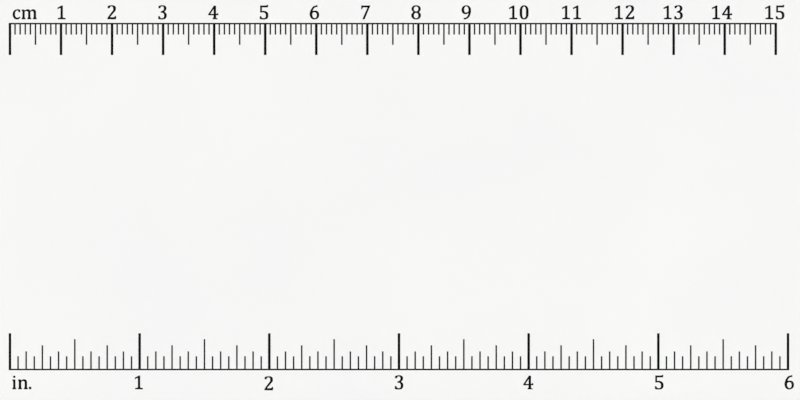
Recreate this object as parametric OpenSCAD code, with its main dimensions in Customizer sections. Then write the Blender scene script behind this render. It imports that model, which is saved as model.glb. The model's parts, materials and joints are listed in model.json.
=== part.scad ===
// Flat cork-backed ruler with a centimetre scale along one long edge and an inch scale along the other.
// The origin is the centre of the underside. X runs along the scales, Y points from the inch scale
// to the centimetre scale, and Z points up out of the reading face.

/* [Plate] */
// Length of the plate along the scales, which hold as many whole units as fit
plate_l = 160; // [80:1:400]
// Width of the plate across both scales
plate_w = 80; // [50:1:140]
// Thickness of the plate
plate_t = 2; // [1.5:0.1:5]
// Radius of the plate's four corners
corner_r = 3; // [1.5:0.5:8]
// Radius that rounds over the plate's upper and lower edges
edge_r = 0.4; // [0.2:0.1:0.6]
// Distance from the plate's left end to the zero marks
start_margin = 3.6; // [2:0.1:20]
// Least distance from a scale's last mark to the plate's right end
end_margin = 3.9; // [2:0.1:20]
// Distance from the plate's centimetre edge to that scale's base line
metric_margin = 5.3; // [3:0.1:12]
// Distance from the plate's inch edge to that scale's base line
inch_margin = 6.65; // [3:0.05:12]

/* [Marks] */
// Depth to which the marks are cut into the plate and filled
mark_depth = 0.1; // [0.05:0.05:0.3]
// Width of the base line of each scale
baseline_w = 0.3; // [0.1:0.05:0.4]
// Width of the whole centimetre and whole inch marks
whole_mark_w = 0.5; // [0.2:0.05:0.6]
// Width of all the marks between them
part_mark_w = 0.3; // [0.1:0.05:0.4]
// Length of a whole centimetre mark, measured with its base line
centimetre_mark_l = 6.3; // [5:0.05:10]
// Length of a half centimetre mark, measured with its base line
half_centimetre_mark_l = 4.3; // [2:0.05:8]
// Length of a millimetre mark, measured with its base line
millimetre_mark_l = 2.3; // [1:0.05:6]
// Length of a whole inch mark, measured with its base line
inch_mark_l = 7.25; // [5:0.05:10]
// Length of a half inch mark, measured with its base line
half_inch_mark_l = 6.1; // [3:0.05:9]
// Length of a quarter inch mark, measured with its base line
quarter_inch_mark_l = 4.9; // [2:0.05:8]
// Length of an eighth inch mark, measured with its base line
eighth_inch_mark_l = 3.7; // [1.5:0.05:7]
// Length of a sixteenth inch mark, measured with its base line
sixteenth_inch_mark_l = 2.75; // [1:0.05:6]

/* [Backing] */
// Thickness of the cork sheet
cork_t = 1; // [0.5:0.1:3]
// Thickness of the adhesive film between the cork and the plate
adhesive_t = 0.1; // [0.05:0.05:0.3]
// Distance that the backing stays inside the plate's edges
backing_setback = 4; // [1:0.5:10]
// Radius of the backing's four corners
backing_corner_r = 2; // [0.5:0.5:6]

/* [Hidden] */

$fn = 64;

// The units of both scales, and the spaces that their marks divide
cm = 10;
half_cm = cm / 2;
mm_per_half_cm = 5;
inch = 25.4;
half_inch = inch / 2;
quarter_inch = half_inch / 2;
eighth_inch = quarter_inch / 2;

// Plan sizes
scale_room = plate_l - start_margin - end_margin;
metric_scale_l = floor(scale_room / cm) * cm;
inch_scale_l = floor(scale_room / inch) * inch;
backing_l = plate_l - 2 * backing_setback;
backing_w = plate_w - 2 * backing_setback;
zero_x = start_margin - plate_l / 2;
metric_line_y = plate_w / 2 - metric_margin;
inch_line_y = inch_margin - plate_w / 2;

// Heights of the layers
adhesive_z = cork_t;
plate_z = adhesive_z + adhesive_t;
face_z = plate_z + plate_t;

// How far the engraving tool stands out of the face that it cuts
tool_clear = 0.5;

// Colours
enamel_white = "#f6f6f3";
enamel_black = "#111111";
cork_tan = "#c29a6b";
adhesive_cream = "#d9d2bd";

// A rectangle about the origin with round corners
module rounded_outline(l, w, r) {
    square([l - 2 * r, w], center = true);
    square([l, w - 2 * r], center = true);
    for (side_x = [-1, 1]) {
        for (side_y = [-1, 1]) {
            translate([side_x * (l / 2 - r), side_y * (w / 2 - r)])
                circle(r);
        }
    }
}

// Section of the plate from an upright axis at X = 0 out to its rim, with both arrises rounded
module rim_section(reach) {
    flat_reach = reach - edge_r;
    square([flat_reach, plate_t]);
    translate([0, edge_r])
        square([reach, plate_t - 2 * edge_r]);
    for (arris_y = [edge_r, plate_t - edge_r]) {
        translate([flat_reach, arris_y])
            circle(edge_r);
    }
}

// A straight stretch of the plate whose rim faces +X
module straight_rim(l, reach) {
    rotate([90, 0, 0])
        linear_extrude(l, center = true)
            rim_section(reach);
}

// The plate before its marks are cut: straight stretches joined by a quarter turn at each corner
module plate_blank() {
    straight_l = plate_l - 2 * corner_r;
    straight_w = plate_w - 2 * corner_r;
    for (half_turn = [0, 180]) {
        rotate([0, 0, half_turn + 90])
            straight_rim(straight_l, plate_w / 2);
        rotate([0, 0, half_turn])
            translate([straight_l / 2, 0, 0])
                straight_rim(straight_w, corner_r);
    }
    corners = [[1, 1], [-1, 1], [-1, -1], [1, -1]];
    for (i = [0 : 3]) {
        translate([corners[i].x * straight_l / 2, corners[i].y * straight_w / 2, 0])
            rotate([0, 0, i * 90])
                rotate_extrude(angle = 90)
                    rim_section(corner_r);
    }
}

// Places a scale drawn from its zero along +X, with its marks rising along +Y, at its edge of the plate
module at_metric_edge() {
    translate([zero_x, metric_line_y])
        mirror([0, 1])
            children();
}

module at_inch_edge() {
    translate([zero_x, inch_line_y])
        children();
}

// The line that a scale's marks stand on, ending flush with the outer marks
module baseline(scale_l) {
    translate([-whole_mark_w / 2, 0])
        square([scale_l + whole_mark_w, baseline_w]);
}

// One mark, standing on the base line at a distance from the scale's zero
module mark(distance, mark_w, mark_l) {
    translate([distance - mark_w / 2, baseline_w])
        square([mark_w, mark_l - baseline_w]);
}

// The marks at the zero and at the end of each whole unit
module whole_marks(unit, scale_l, mark_l) {
    for (i = [0 : round(scale_l / unit)]) {
        mark(i * unit, whole_mark_w, mark_l);
    }
}

// The marks that divide each of a scale's equal spaces into so many parts
module dividing_marks(space, scale_l, mark_l, parts = 2) {
    for (i = [0 : round(scale_l / space) - 1]) {
        for (part = [1 : parts - 1]) {
            mark((i + part / parts) * space, part_mark_w, mark_l);
        }
    }
}

module centimetre_row() {
    whole_marks(cm, metric_scale_l, centimetre_mark_l);
}

module half_centimetre_row() {
    dividing_marks(cm, metric_scale_l, half_centimetre_mark_l);
}

module millimetre_row() {
    dividing_marks(half_cm, metric_scale_l, millimetre_mark_l, mm_per_half_cm);
}

module inch_row() {
    whole_marks(inch, inch_scale_l, inch_mark_l);
}

module half_inch_row() {
    dividing_marks(inch, inch_scale_l, half_inch_mark_l);
}

module quarter_inch_row() {
    dividing_marks(half_inch, inch_scale_l, quarter_inch_mark_l);
}

module eighth_inch_row() {
    dividing_marks(quarter_inch, inch_scale_l, eighth_inch_mark_l);
}

module sixteenth_inch_row() {
    dividing_marks(eighth_inch, inch_scale_l, sixteenth_inch_mark_l);
}

// Every line of both scales, as the engraver cuts them
module engraving() {
    at_metric_edge() {
        baseline(metric_scale_l);
        centimetre_row();
        half_centimetre_row();
        millimetre_row();
    }
    at_inch_edge() {
        baseline(inch_scale_l);
        inch_row();
        half_inch_row();
        quarter_inch_row();
        eighth_inch_row();
        sixteenth_inch_row();
    }
}

// Fills a cut of the engraving up to the face
module filling() {
    color(enamel_black)
        translate([0, 0, face_z - mark_depth])
            linear_extrude(mark_depth)
                children();
}

module plate() {
    color(enamel_white)
        difference() {
            translate([0, 0, plate_z])
                plate_blank();
            translate([0, 0, face_z - mark_depth])
                linear_extrude(mark_depth + tool_clear)
                    engraving();
        }
}

module backing_adhesive() {
    color(adhesive_cream)
        translate([0, 0, adhesive_z])
            linear_extrude(adhesive_t)
                rounded_outline(backing_l, backing_w, backing_corner_r);
}

module cork_backing() {
    color(cork_tan)
        linear_extrude(cork_t)
            rounded_outline(backing_l, backing_w, backing_corner_r);
}

module metric_baseline() {
    filling() at_metric_edge() baseline(metric_scale_l);
}

module centimetre_marks() {
    filling() at_metric_edge() centimetre_row();
}

module half_centimetre_marks() {
    filling() at_metric_edge() half_centimetre_row();
}

module millimetre_marks() {
    filling() at_metric_edge() millimetre_row();
}

module inch_baseline() {
    filling() at_inch_edge() baseline(inch_scale_l);
}

module inch_marks() {
    filling() at_inch_edge() inch_row();
}

module half_inch_marks() {
    filling() at_inch_edge() half_inch_row();
}

module quarter_inch_marks() {
    filling() at_inch_edge() quarter_inch_row();
}

module eighth_inch_marks() {
    filling() at_inch_edge() eighth_inch_row();
}

module sixteenth_inch_marks() {
    filling() at_inch_edge() sixteenth_inch_row();
}

plate();
backing_adhesive();
cork_backing();
metric_baseline();
centimetre_marks();
half_centimetre_marks();
millimetre_marks();
inch_baseline();
inch_marks();
half_inch_marks();
quarter_inch_marks();
eighth_inch_marks();
sixteenth_inch_marks();
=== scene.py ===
"""Dresses the flat cork-backed ruler: its enamels, its cork and the figures of both scales.

Everything is in metres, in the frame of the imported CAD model: X runs along the scales, Y from the inch
scale to the centimetre scale, and Z out of the reading face.
"""

import json
import math

import bmesh
import bpy
from mathutils import Matrix, Vector


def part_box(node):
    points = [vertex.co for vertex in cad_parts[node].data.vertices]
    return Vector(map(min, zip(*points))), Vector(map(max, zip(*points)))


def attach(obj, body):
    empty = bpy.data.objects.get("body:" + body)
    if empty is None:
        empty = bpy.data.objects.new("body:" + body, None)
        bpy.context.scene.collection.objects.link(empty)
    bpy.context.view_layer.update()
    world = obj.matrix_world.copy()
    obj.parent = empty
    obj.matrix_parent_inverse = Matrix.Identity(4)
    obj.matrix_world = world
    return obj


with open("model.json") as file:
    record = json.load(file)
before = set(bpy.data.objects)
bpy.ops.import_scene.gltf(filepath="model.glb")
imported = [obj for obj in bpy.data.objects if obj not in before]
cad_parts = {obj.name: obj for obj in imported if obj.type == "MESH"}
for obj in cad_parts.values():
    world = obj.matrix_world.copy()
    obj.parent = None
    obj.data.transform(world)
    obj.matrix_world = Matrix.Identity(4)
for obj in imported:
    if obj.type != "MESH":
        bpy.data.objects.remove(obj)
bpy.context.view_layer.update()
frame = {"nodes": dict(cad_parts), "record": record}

MM = 0.001

# The reading face, and the units that its two scales count
FACE_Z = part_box("plate")[1].z
CENTIMETRE = 10 * MM
INCH = 25.4 * MM

# Figures: the em they are drawn to, the grid that their outlines are drawn on, and their width on it
EM = 3.92 * MM
EM_UNITS = 100
FIGURE_WIDTH = 55.4

# Straight steps in each curve of an outline, and how near on the grid two points of it become one
CURVE_STEPS = 8
MERGE_UNITS = 0.01

# How far the enamel spreads past the drawn outline of a figure, all round
FIGURE_SPREAD = 0.06 * MM

# How deep the enamel of a figure goes into the face, and how far it stands out of it
FIGURE_DEPTH = 0.05 * MM
FIGURE_PROUD = 0.01 * MM

# From each base line's outer edge to the foot of the figures beside it
CENTIMETRE_FIGURE_RISE = 0.75 * MM
INCH_FIGURE_DROP = 3.67 * MM

# From each zero mark to the left side of the unit's name
CENTIMETRE_NAME_INDENT = 0.48 * MM
INCH_NAME_INDENT = 0.39 * MM

# The figures were set one by one: how far each stands along X from the middle of its mark, in millimetres
CENTIMETRE_SHIFTS = (
    0.15, 0, -0.05, -0.1, -0.15,
    -0.4, -0.35, -0.5, -0.6, -0.3,
    0.05, 0.4, -0.05, -0.55, -0.15,
)
INCH_SHIFTS = (-0.1, -0.05, 0.1, 0, 0.25, 0.2)

# The figures that were also set lower than their neighbours, and by how much: one in the inch scale
LOW_CENTIMETRE_FIGURES = {}
LOW_INCH_FIGURES = {2: 0.2 * MM}

# White enamel: the sizes of its clouding, of its rubbed patches and of its ripple, and the ripple's height
ENAMEL_CLOUD = 35 * MM
ENAMEL_RUB = 6 * MM
ENAMEL_RIPPLE = 1.6 * MM
ENAMEL_RIPPLE_HEIGHT = 0.008 * MM

# Black enamel: the size and the depth of its pits
FILL_PIT = 0.25 * MM
FILL_PIT_DEPTH = 0.004 * MM

# Cork: the sizes of its granules, crumbs and pores, and how deep its seams and pores go
CORK_GRANULE = 1.2 * MM
CORK_CRUMB = 0.4 * MM
CORK_PORE = 0.2 * MM
CORK_DIP_DEPTH = 0.08 * MM

# How far the granules are squeezed out of their even cells, and over what length that changes
CORK_SQUEEZE = 1.2 * MM
CORK_SQUEEZE_LENGTH = 0.8 * MM

# Adhesive film: the size and the height of its air marks
FILM_MARK = 1.2 * MM
FILM_MARK_HEIGHT = 0.02 * MM

# View: the width of the face that fills the picture, and the camera's lens and sensor
VIEW_WIDTH = 156.7 * MM
LENS_MM = 100
SENSOR_MM = 36

# Backdrop: its floor and wall, the cove that joins them, and the gap that keeps the floor off the cork
BACKDROP_RADIUS = 2.4
BACKDROP_HEIGHT = 1.6
BACKDROP_SIDES = 96
BACKDROP_COVE = 0.7
BACKDROP_COVE_STEPS = 12
BACKDROP_TONE = 400 * MM
FLOOR_GAP = 0.05 * MM

# Lamps: the azimuth and the strength of each, and the elevation and the width in the sky of them all.
# The angles are in degrees, and azimuth 0 is towards -Y and 90 towards +X.
LAMPS = {
    "key_light": (-40, 1.1),
    "fill_light": (140, 0.98),
    "side_light": (50, 0.93),
    "back_light": (-130, 0.93),
}
LAMP_ELEVATION = 47
LAMP_WIDTH = 60
SKY_STRENGTH = 0.1

# A knot of an outline is (x, y) at a corner, (x, y, heading) where the line runs smoothly on, or
# (x, y, heading in, heading out), with None for a side that has no heading of its own. A heading is in
# degrees: 0 to the right, 90 up. The foot of the figures is at y = 0.
# An outline runs clockwise round its figure, and the other way round a hole in it.
GLYPHS = {
    "0": [
        [(5, 24, 90), (5, 42, 90), (25.5, 67.5, 0), (46.5, 42, 270), (46.5, 24, 270), (25.5, -1, 180)],
        [(15, 22, 270), (25.5, 3, 0), (36.5, 22, 90), (36.5, 44, 90), (25.5, 63.5, 180), (15, 44, 270)],
    ],
    "1": [
        [(9.5, 4), (18.5, 5), (23, 10, 90), (23, 52, 90), (19.5, 56.5, 180), (16.5, 55.5), (8.5, 51),
         (7, 55.5), (26.5, 66), (31.5, 66), (31.5, 10, 270), (36, 5), (45, 4), (45, 0), (9.5, 0)],
    ],
    "2": [
        [(6, 3), (7, 6), (11, 12.5), (29, 36, 51), (35, 52, 90), (24.5, 64.5, 180), (16.5, 60.5),
         (13.5, 55), (7, 55), (7, 63.5), (28, 67.5, 0), (45.5, 54.5, 270), (36, 33.5, 230), (16, 10),
         (20, 7.5), (34, 7.5), (41.5, 9.5), (43.5, 14.5), (46, 14.5), (47, 8), (45.5, 0), (6, 0)],
    ],
    "3": [
        [(5.5, 2), (6.5, 13.5), (10.5, 13.5), (13.5, 7), (21, 3, 0), (28, 3.5, 10), (35.5, 18, 90),
         (24, 32.5, 180), (18, 33), (18, 36), (25.5, 39.5), (31, 42.5), (34, 54, 90), (24, 64.5, 180),
         (16, 60.5), (13.5, 55), (7.5, 55), (7, 63), (27, 67.5, 0), (44, 54.5, 270), (32, 36.5),
         (45.5, 18.5, 270), (30, -0.5, 185), (20, -1, 180)],
    ],
    "4": [
        [(30, 66), (38, 64.5), (38, 24), (43, 24), (45.5, 27.5), (49, 27.5), (50, 20.5), (38.5, 20.5),
         (38.5, 5.5), (40, 3), (46.5, 1), (46.5, 0), (24.5, 0), (24.5, 4), (28.5, 5.5), (28.5, 20),
         (2, 20), (2, 23.5)],
        [(9, 24), (29, 24), (29, 54.5)],
    ],
    "5": [
        [(7.5, 66), (35.5, 66), (41, 69), (45, 69), (43.5, 59.5), (13.5, 59.5), (13.5, 37), (24, 39.5, 0),
         (46, 19, 270), (31, -0.5, 188), (20, -1, 180), (5.5, 2), (6, 13), (9.5, 13), (13.5, 6.5),
         (21.5, 3, 0), (29, 3.5, 10), (36, 18, 90), (20.5, 34.5, 180), (11, 33.5), (7.5, 34.5)],
    ],
    "6": [
        [(42.5, 68.5), (42.5, 61), (36.5, 61.5), (19, 40, 262, None), (20.5, 38.5), (34, 40.5, 0),
         (51, 21, 270), (28, -1, 180), (6.5, 25, 90), (10.5, 42, 74), (16, 52.5, 55), (33.5, 65.5, 15)],
        [(31, 3, 0), (42, 20, 90), (29, 35.5, 180), (16.5, 23, 270)],
    ],
    "7": [
        [(7.5, 66), (50, 66), (45, 55), (22, 0), (14.5, 0), (17, 7.5), (40, 59.5), (15, 59.5),
         (11, 55.5), (9.5, 49.5), (7.5, 49.5)],
    ],
    "8": [
        [(6.5, 18, 90), (16.5, 35, 52, 128), (8, 51.5, 90), (29, 67.5, 0), (50.5, 51.5, 270),
         (42, 35, 232, 308), (51.5, 18, 270), (29, -1, 180)],
        [(41.5, 17.5, 90), (29, 32.5, 180), (16.5, 17.5, 270), (29, 2.5, 0)],
        [(29, 36.5, 0), (41.5, 50.5, 90), (29, 64, 180), (16.5, 50.5, 270)],
    ],
    "9": [
        [(27, 67.5, 0), (49.5, 44, 270), (45.5, 21.5, 252), (37, 7.5, 225), (16, -0.5), (15.5, 4),
         (33.5, 13, 55), (39.5, 28), (38.5, 30), (33, 28), (22, 25.5, 180), (5, 45, 90)],
        [(26, 31, 0), (40, 43, 90), (27.5, 64.5, 180), (15, 46, 270)],
    ],
    "c": [
        [(2.5, 24, 90), (27, 47.5, 0), (37.5, 45), (38.5, 35), (33, 35), (30, 42), (24, 44, 180),
         (11.5, 24, 270), (23.5, 5.5, 0), (34, 9.5), (37.5, 10), (37.5, 7), (22.5, -1, 180)],
    ],
    "m": [
        [(3.5, 3.5), (7.5, 7.5), (7.5, 39.5), (3.5, 42), (3.5, 46), (14, 46), (14.5, 41), (24, 44.5),
         (33, 47.5, 0), (41, 45), (43.5, 40), (46, 40), (51, 44.5), (60, 47.5, 0), (72.5, 34, 270),
         (72.5, 7.5), (76, 3.5), (76, 0), (60, 0), (60, 3.5), (63.5, 7.5), (63.5, 31, 90), (54.5, 41, 180),
         (44.5, 35.5), (44.5, 7.5), (48.5, 3.5), (48.5, 0), (32, 0), (32, 3.5), (36, 7.5), (36, 33, 90),
         (26, 41, 180), (16, 35.5), (16, 7.5), (20, 3.5), (20, 0), (3.5, 0)],
    ],
    "i": [
        [(3.5, 3.5), (7.5, 7.5), (7.5, 39.5), (3.5, 42), (3.5, 46), (16, 46), (16, 7.5), (19.5, 3.5),
         (19.5, 0), (3.5, 0)],
        [(7.5, 61, 90), (12, 65.5, 0), (16, 61, 270), (12, 56.5, 180)],
    ],
    "n": [
        [(4.5, 3.5), (7.5, 7.5), (7.5, 39.5), (4.5, 42), (4.5, 46), (17, 46), (17, 40), (21, 42),
         (32.5, 47.5, 0), (46, 34, 270), (46, 7.5), (49.5, 3.5), (49.5, 0), (33, 0), (33, 3.5), (37, 7.5),
         (37, 33, 90), (28.5, 41, 180), (17, 35.5), (17, 7.5), (20.5, 3.5), (20.5, 0), (4.5, 0)],
    ],
    ".": [
        [(4.5, 5, 90), (9.5, 10.5, 0), (15, 5, 270), (9.5, -0.5, 180)],
    ],
}

# How far the pen moves on after each letter, which is the figures' width unless it is given here
ADVANCES = {"c": 44, "m": 80, "i": 28, "n": 53, ".": 20}

# How far a curve's handle reaches along its heading, as a share of the way to the next knot
HANDLE_REACH = 0.6


def direction(heading):
    """The unit vector of a heading in degrees."""
    return Vector((math.cos(math.radians(heading)), math.sin(math.radians(heading))))


def handle(knot, other, heading):
    """Where a smooth knot's handle towards another knot ends, or None at a corner."""
    if heading is None:
        return None
    start = Vector(knot[:2])
    way = direction(heading)
    reach = HANDLE_REACH * abs((Vector(other[:2]) - start).dot(way))
    return start + way * reach


def arriving(knot):
    """The heading on which the outline comes into a knot, or None at a corner."""
    return knot[2] if len(knot) > 2 else None


def leaving(knot):
    """The heading on which the outline goes out of a knot, or None at a corner."""
    return knot[-1] if len(knot) > 2 else None


def draw_outline(curve, knots, pen):
    """Draws one closed outline of a letter on the flat curve, with the letter's left side at the pen."""
    spline = curve.splines.new("BEZIER")
    spline.bezier_points.add(len(knots) - 1)
    spline.use_cyclic_u = True
    shift = Vector((pen, 0))
    for i, knot in enumerate(knots):
        point = spline.bezier_points[i]
        point.co = (*(Vector(knot[:2]) + shift), 0)
        point.handle_left_type = point.handle_right_type = "VECTOR"
    for i, knot in enumerate(knots):
        following = (i + 1) % len(knots)
        target = knots[following]
        start = handle(knot, target, leaving(knot))
        end = handle(target, knot, None if arriving(target) is None else arriving(target) + 180)
        if start is None and end is None:
            continue
        # A corner at the end of a curve gets a handle too, halfway to the one at the curve's other end
        start = start or (Vector(knot[:2]) + end) / 2
        end = end or (Vector(target[:2]) + start) / 2
        here = spline.bezier_points[i]
        there = spline.bezier_points[following]
        here.handle_right_type = there.handle_left_type = "FREE"
        here.handle_right = (*(start + shift), 0)
        there.handle_left = (*(end + shift), 0)


def draw_words(words):
    """A flat filled curve of a word or number, in units of the em grid, and how wide it is."""
    curve = bpy.data.curves.new("lettering", "CURVE")
    curve.dimensions = "2D"
    curve.fill_mode = "BOTH"
    curve.resolution_u = CURVE_STEPS
    curve.offset = FIGURE_SPREAD * EM_UNITS / EM
    curve.extrude = (FIGURE_DEPTH + FIGURE_PROUD) / 2 * EM_UNITS / EM
    pen = 0
    for letter in words:
        for knots in GLYPHS[letter]:
            draw_outline(curve, knots, pen)
        pen += ADVANCES.get(letter, FIGURE_WIDTH)
    return curve, pen


def curve_mesh(curve, name):
    """The mesh that a curve makes, which takes the curve's place."""
    drawn = bpy.data.objects.new(name, curve)
    bpy.context.scene.collection.objects.link(drawn)
    depsgraph = bpy.context.evaluated_depsgraph_get()
    mesh = bpy.data.meshes.new_from_object(drawn.evaluated_get(depsgraph))
    mesh.name = name
    bpy.data.objects.remove(drawn)
    bpy.data.curves.remove(curve)
    return mesh


def add_piece(name, mesh, material):
    """Puts a finished mesh in the scene as a piece of the ruler."""
    mesh.materials.clear()
    mesh.materials.append(material)
    piece = bpy.data.objects.new(name, mesh)
    bpy.context.scene.collection.objects.link(piece)
    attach(piece, "root")


def add_lettering(name, words, place, foot, material, centred=False):
    """Letters in the reading face. The place along X is their left side, or their middle if centred."""
    curve, width = draw_words(words)
    mesh = curve_mesh(curve, name)
    scale = EM / EM_UNITS
    start = place - width * scale / 2 if centred else place
    middle_z = FACE_Z + (FIGURE_PROUD - FIGURE_DEPTH) / 2
    shape = bmesh.new()
    shape.from_mesh(mesh)
    bmesh.ops.remove_doubles(shape, verts=shape.verts, dist=MERGE_UNITS)
    bmesh.ops.scale(shape, verts=shape.verts, vec=(scale, scale, scale))
    bmesh.ops.translate(shape, verts=shape.verts, vec=(start, foot, middle_z))
    bmesh.ops.recalc_face_normals(shape, faces=shape.faces)
    shape.to_mesh(mesh)
    shape.free()
    add_piece(name, mesh, material)


def whole_marks(node, unit):
    """Where a scale's whole marks stand along X, worked out from the CAD node that holds them."""
    low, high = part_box(node)
    spaces = round((high.x - low.x) / unit)
    zero = (low.x + high.x - spaces * unit) / 2
    return [zero + i * unit for i in range(spaces + 1)]


def add_scale_lettering(scale, unit_name, indent, marks, foot, shifts, low_figures, material):
    """A scale's unit name beside its zero mark, and a number at each whole mark after it."""
    zero, *numbered = marks
    add_lettering(f"{scale}_name", unit_name, zero + indent, foot, material)
    for number, (mark, shift) in enumerate(zip(numbered, shifts), start=1):
        middle = mark + shift * MM
        own_foot = foot - low_figures.get(number, 0)
        add_lettering(f"{scale}_figure_{number}", str(number), middle, own_foot, material, centred=True)


def add_centimetre_lettering(material):
    """The numbers over the centimetre marks, and "cm" over the zero."""
    marks = whole_marks("centimetre_marks", CENTIMETRE)
    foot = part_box("metric_baseline")[1].y + CENTIMETRE_FIGURE_RISE
    add_scale_lettering(
        "centimetre", "cm", CENTIMETRE_NAME_INDENT, marks, foot,
        CENTIMETRE_SHIFTS, LOW_CENTIMETRE_FIGURES, material,
    )


def add_inch_lettering(material):
    """The numbers under the inch marks, and "in." under the zero."""
    marks = whole_marks("inch_marks", INCH)
    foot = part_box("inch_baseline")[0].y - INCH_FIGURE_DROP
    add_scale_lettering(
        "inch", "in.", INCH_NAME_INDENT, marks, foot,
        INCH_SHIFTS, LOW_INCH_FIGURES, material,
    )


def colour(code):
    """A linear RGBA colour from an sRGB hex code."""
    channels = [int(code[i:i + 2], 16) / 255 for i in (1, 3, 5)]
    return (*[c / 12.92 if c <= 0.04045 else ((c + 0.055) / 1.055) ** 2.4 for c in channels], 1)


def pattern_scale(size):
    """The scale of a texture whose features have this size."""
    return 1 / size


def add_node(tree, kind, inputs=(), **settings):
    """Adds a node with its settings. An input, by name or number, gets a value or the socket to link."""
    node = tree.nodes.new(kind)
    for name, value in settings.items():
        setattr(node, name, value)
    for name, value in dict(inputs).items():
        if isinstance(value, bpy.types.NodeSocket):
            tree.links.new(value, node.inputs[name])
        else:
            node.inputs[name].default_value = value
    return node


def set_ramp(node, stops):
    """Gives a colour ramp its stops, as (position, hex code)."""
    elements = node.color_ramp.elements
    while len(elements) < len(stops):
        elements.new(1)
    for element, (position, code) in zip(elements, stops):
        element.position = position
        element.color = colour(code)
    return node


def new_material(name):
    """A material with only its output, its node tree, and a texture coordinate node."""
    material = bpy.data.materials.new(name)
    material.use_nodes = True
    tree = material.node_tree
    tree.nodes.clear()
    place = add_node(tree, "ShaderNodeTexCoord").outputs["Object"]
    return material, tree, place


def finish_material(tree, shader):
    """Links a shader to the material's output."""
    add_node(tree, "ShaderNodeOutputMaterial", {"Surface": shader.outputs["BSDF"]})


def white_stoved_enamel():
    """White enamel stoved on aluminium: bright and even, in satin gloss, greyer on the arrises from a thin
    coat and painted shade.
    """
    material, tree, place = new_material("white_stoved_enamel")
    # The coat clouds by a shade over a few centimetres
    cloud = add_node(
        tree, "ShaderNodeTexNoise",
        {"Vector": place, "Scale": pattern_scale(ENAMEL_CLOUD), "Detail": 2},
    )
    tone = set_ramp(
        add_node(tree, "ShaderNodeValToRGB", {"Fac": cloud.outputs["Fac"]}),
        [(0.3, "#f8f8f8"), (0.7, "#fbfbfa")],
    )
    # Halfway round an arris the coat draws thin and the metal greys it; the grey is also painted shade that
    # makes the edges read against the floor
    surface = add_node(tree, "ShaderNodeNewGeometry")
    facing = add_node(tree, "ShaderNodeSeparateXYZ", {"Vector": surface.outputs["Normal"]})
    upright = add_node(tree, "ShaderNodeMath", {0: facing.outputs["Z"]}, operation="ABSOLUTE")
    # The grey middle stop is partly a thinner coat and partly painted shade along the arrises
    arris_thin_coat_and_painted_shade = set_ramp(
        add_node(tree, "ShaderNodeValToRGB", {"Fac": upright.outputs["Value"]}),
        [(0.1, "#ffffff"), (0.5, "#dcdddc"), (0.95, "#ffffff")],
    )
    coat = add_node(
        tree, "ShaderNodeVectorMath",
        {0: tone.outputs["Color"], 1: arris_thin_coat_and_painted_shade.outputs["Color"]},
        operation="MULTIPLY",
    )
    # The gloss breaks up a little where hands and cloths rub
    rub = add_node(
        tree, "ShaderNodeTexNoise",
        {"Vector": place, "Scale": pattern_scale(ENAMEL_RUB), "Detail": 3},
    )
    gloss = add_node(
        tree, "ShaderNodeMapRange",
        {"Value": rub.outputs["Fac"], "From Min": 0.2, "From Max": 0.8, "To Min": 0.34, "To Max": 0.4},
    )
    # The ripple that spraying leaves
    ripple = add_node(
        tree, "ShaderNodeTexNoise",
        {"Vector": place, "Scale": pattern_scale(ENAMEL_RIPPLE), "Detail": 1},
    )
    bump = add_node(
        tree, "ShaderNodeBump",
        {"Height": ripple.outputs["Fac"], "Distance": ENAMEL_RIPPLE_HEIGHT, "Strength": 0.6},
    )
    shader = add_node(
        tree, "ShaderNodeBsdfPrincipled",
        {
            "Base Color": coat.outputs["Vector"],
            "Roughness": gloss.outputs["Result"],
            "Normal": bump.outputs["Normal"],
            "IOR": 1.5,
        },
    )
    finish_material(tree, shader)
    return material


def black_fill_enamel():
    """Black enamel wiped into cuts: deep black and half glossy, with a faintly pitted top."""
    material, tree, place = new_material("black_fill_enamel")
    pits = add_node(
        tree, "ShaderNodeTexNoise",
        {"Vector": place, "Scale": pattern_scale(FILL_PIT), "Detail": 2},
    )
    tone = set_ramp(
        add_node(tree, "ShaderNodeValToRGB", {"Fac": pits.outputs["Fac"]}),
        [(0.3, "#050505"), (0.7, "#0b0b0b")],
    )
    bump = add_node(
        tree, "ShaderNodeBump",
        {"Height": pits.outputs["Fac"], "Distance": FILL_PIT_DEPTH, "Strength": 0.4},
    )
    shader = add_node(
        tree, "ShaderNodeBsdfPrincipled",
        {
            "Base Color": tone.outputs["Color"],
            "Roughness": 0.22,
            "Normal": bump.outputs["Normal"],
            "Specular IOR Level": 0.2,
        },
    )
    finish_material(tree, shader)
    return material


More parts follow.
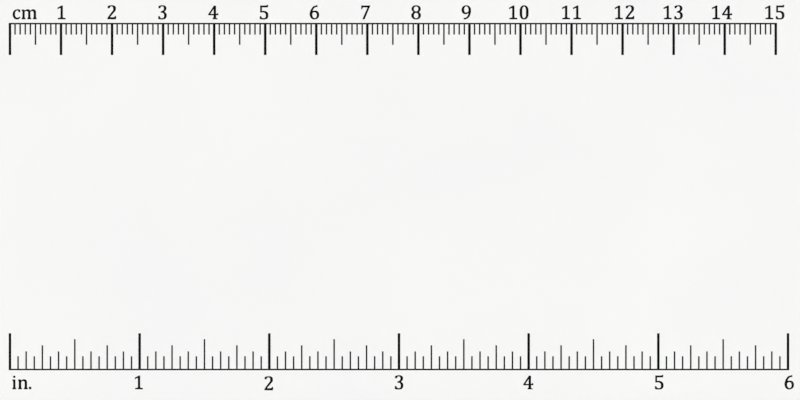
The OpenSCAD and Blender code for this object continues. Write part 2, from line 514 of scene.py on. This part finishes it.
def agglomerated_cork():
    """Cork pressed from granules: warm tans, brown seams and specks of dark bark, dry and finely pitted."""
    material, tree, place = new_material("agglomerated_cork")
    # The granules are squeezed out of their even cells
    squeeze = add_node(
        tree, "ShaderNodeTexNoise",
        {"Vector": place, "Scale": pattern_scale(CORK_SQUEEZE_LENGTH), "Detail": 3},
    )
    centred = add_node(
        tree, "ShaderNodeVectorMath",
        {0: squeeze.outputs["Color"], 1: (0.5, 0.5, 0.5)},
        operation="SUBTRACT",
    )
    offset = add_node(
        tree, "ShaderNodeVectorMath",
        {0: centred.outputs["Vector"], "Scale": CORK_SQUEEZE},
        operation="SCALE",
    )
    squeezed = add_node(
        tree, "ShaderNodeVectorMath",
        {0: place, 1: offset.outputs["Vector"]},
        operation="ADD",
    ).outputs["Vector"]
    # Each granule has a tan of its own, and a few are dark bark
    granules = add_node(
        tree, "ShaderNodeTexVoronoi", {"Vector": squeezed, "Scale": pattern_scale(CORK_GRANULE)}
    )
    pick = add_node(tree, "ShaderNodeSeparateColor", {"Color": granules.outputs["Color"]})
    tan = set_ramp(
        add_node(tree, "ShaderNodeValToRGB", {"Fac": pick.outputs["Red"]}),
        [(0, "#6b4527"), (0.07, "#8c6038"), (0.2, "#b18350"), (0.6, "#c39863"), (1, "#d2ac79")],
    )
    # Crumbs much smaller than the granules vary the shade within them
    crumbs = add_node(
        tree, "ShaderNodeTexVoronoi", {"Vector": squeezed, "Scale": pattern_scale(CORK_CRUMB)}
    )
    crumb = add_node(tree, "ShaderNodeSeparateColor", {"Color": crumbs.outputs["Color"]})
    crumb_shade = add_node(
        tree, "ShaderNodeMapRange", {"Value": crumb.outputs["Green"], "To Min": 0.8, "To Max": 1.1}
    )
    # The seams between granules are darker and lower, and so are the pores
    seams = add_node(
        tree, "ShaderNodeTexVoronoi",
        {"Vector": squeezed, "Scale": pattern_scale(CORK_GRANULE)},
        feature="DISTANCE_TO_EDGE",
    )
    seam = add_node(
        tree, "ShaderNodeMapRange",
        {"Value": seams.outputs["Distance"], "From Min": 0, "From Max": 0.1, "To Min": 0.68, "To Max": 1},
    )
    pores = add_node(
        tree, "ShaderNodeTexNoise",
        {"Vector": place, "Scale": pattern_scale(CORK_PORE), "Detail": 3},
    )
    pore = add_node(
        tree, "ShaderNodeMapRange",
        {"Value": pores.outputs["Fac"], "From Min": 0.32, "From Max": 0.6, "To Min": 0.72, "To Max": 1.04},
    )
    dips = add_node(
        tree, "ShaderNodeMath",
        {0: seam.outputs["Result"], 1: pore.outputs["Result"]},
        operation="MULTIPLY",
    )
    shade = add_node(
        tree, "ShaderNodeMath",
        {0: dips.outputs["Value"], 1: crumb_shade.outputs["Result"]},
        operation="MULTIPLY",
    )
    shaded = add_node(
        tree, "ShaderNodeVectorMath",
        {0: tan.outputs["Color"], "Scale": shade.outputs["Value"]},
        operation="SCALE",
    )
    bump = add_node(
        tree, "ShaderNodeBump",
        {"Height": dips.outputs["Value"], "Distance": CORK_DIP_DEPTH, "Strength": 0.8},
    )
    shader = add_node(
        tree, "ShaderNodeBsdfPrincipled",
        {
            "Base Color": shaded.outputs["Vector"],
            "Roughness": 0.85,
            "Normal": bump.outputs["Normal"],
            "Specular IOR Level": 0.3,
        },
    )
    finish_material(tree, shader)
    return material


def acrylic_adhesive_film():
    """Acrylic transfer film: a thin cream line round the joint, with tiny air marks and a dull shine."""
    material, tree, place = new_material("acrylic_adhesive_film")
    marks = add_node(
        tree, "ShaderNodeTexNoise",
        {"Vector": place, "Scale": pattern_scale(FILM_MARK), "Detail": 3},
    )
    tone = set_ramp(
        add_node(tree, "ShaderNodeValToRGB", {"Fac": marks.outputs["Fac"]}),
        [(0.35, "#d2cab2"), (0.65, "#e0d9c5")],
    )
    bump = add_node(
        tree, "ShaderNodeBump",
        {"Height": marks.outputs["Fac"], "Distance": FILM_MARK_HEIGHT, "Strength": 0.5},
    )
    shader = add_node(
        tree, "ShaderNodeBsdfPrincipled",
        {
            "Base Color": tone.outputs["Color"],
            "Roughness": 0.45,
            "Normal": bump.outputs["Normal"],
            "IOR": 1.47,
        },
    )
    finish_material(tree, shader)
    return material


def finish_cad_nodes(finishes):
    """Gives each CAD node the finish of its slot in the record."""
    for part in frame["record"]["subparts"]:
        for material_slot in frame["nodes"][part["node"]].material_slots:
            material_slot.material = finishes[part["material_slot"]]


def matt_studio_paper():
    """Pale paper for the floor and the wall: matt and plain, with a tone that drifts by a shade."""
    material, tree, place = new_material("matt_studio_paper")
    drift = add_node(
        tree, "ShaderNodeTexNoise",
        {"Vector": place, "Scale": pattern_scale(BACKDROP_TONE), "Detail": 2},
    )
    tone = set_ramp(
        add_node(tree, "ShaderNodeValToRGB", {"Fac": drift.outputs["Fac"]}),
        [(0.3, "#dededd"), (0.7, "#e1e1e0")],
    )
    shader = add_node(
        tree, "ShaderNodeBsdfPrincipled", {"Base Color": tone.outputs["Color"], "Roughness": 0.9}
    )
    finish_material(tree, shader)
    return material


def add_backdrop(material):
    """A round floor that curves up all round into a wall."""
    shape = bmesh.new()
    bmesh.ops.create_circle(shape, cap_ends=True, segments=BACKDROP_SIDES, radius=BACKDROP_RADIUS)
    rim = list(shape.edges)
    wall = bmesh.ops.extrude_edge_only(shape, edges=rim)
    top = [part for part in wall["geom"] if isinstance(part, bmesh.types.BMVert)]
    bmesh.ops.translate(shape, verts=top, vec=(0, 0, BACKDROP_HEIGHT))
    bmesh.ops.bevel(
        shape, geom=rim, affect="EDGES", offset=BACKDROP_COVE, segments=BACKDROP_COVE_STEPS,
        profile=0.5, material=-1,
    )
    bmesh.ops.translate(shape, verts=shape.verts, vec=(0, 0, -FLOOR_GAP))
    mesh = bpy.data.meshes.new("backdrop")
    shape.to_mesh(mesh)
    shape.free()
    mesh.materials.append(material)
    mesh.shade_smooth()
    backdrop = bpy.data.objects.new("backdrop", mesh)
    bpy.context.scene.collection.objects.link(backdrop)


def add_lamp(name, azimuth, strength):
    """A wide soft lamp, so far away that it lights every place alike."""
    lamp = bpy.data.lights.new(name, "SUN")
    lamp.energy = strength
    lamp.angle = math.radians(LAMP_WIDTH)
    light = bpy.data.objects.new(name, lamp)
    turn = Matrix.Rotation(math.radians(azimuth), 4, "Z")
    tilt = Matrix.Rotation(math.radians(90 - LAMP_ELEVATION), 4, "X")
    light.matrix_world = turn @ tilt
    bpy.context.scene.collection.objects.link(light)


def light_scene():
    """Even soft light from all sides, so that the face glares from none, under a dim sky."""
    for name, (azimuth, strength) in LAMPS.items():
        add_lamp(name, azimuth, strength)
    world = bpy.data.worlds.new("studio")
    world.use_nodes = True
    sky = world.node_tree.nodes["Background"]
    sky.inputs["Color"].default_value = colour("#ffffff")
    sky.inputs["Strength"].default_value = SKY_STRENGTH
    bpy.context.scene.world = world


def add_camera():
    """Straight above the middle of the face, high enough that the view's width fills the picture."""
    data = bpy.data.cameras.new("camera")
    data.lens = LENS_MM
    data.sensor_width = SENSOR_MM
    camera = bpy.data.objects.new("camera", data)
    camera.location = (0, 0, FACE_Z + VIEW_WIDTH * LENS_MM / SENSOR_MM)
    bpy.context.scene.collection.objects.link(camera)
    bpy.context.scene.camera = camera


black_enamel = black_fill_enamel()
finish_cad_nodes({
    "white_enamel": white_stoved_enamel(),
    "black_enamel": black_enamel,
    "cork": agglomerated_cork(),
    "adhesive_film": acrylic_adhesive_film(),
})
add_centimetre_lettering(black_enamel)
add_inch_lettering(black_enamel)
add_backdrop(matt_studio_paper())
light_scene()
add_camera()

bpy.context.scene.view_settings.view_transform = "Standard"
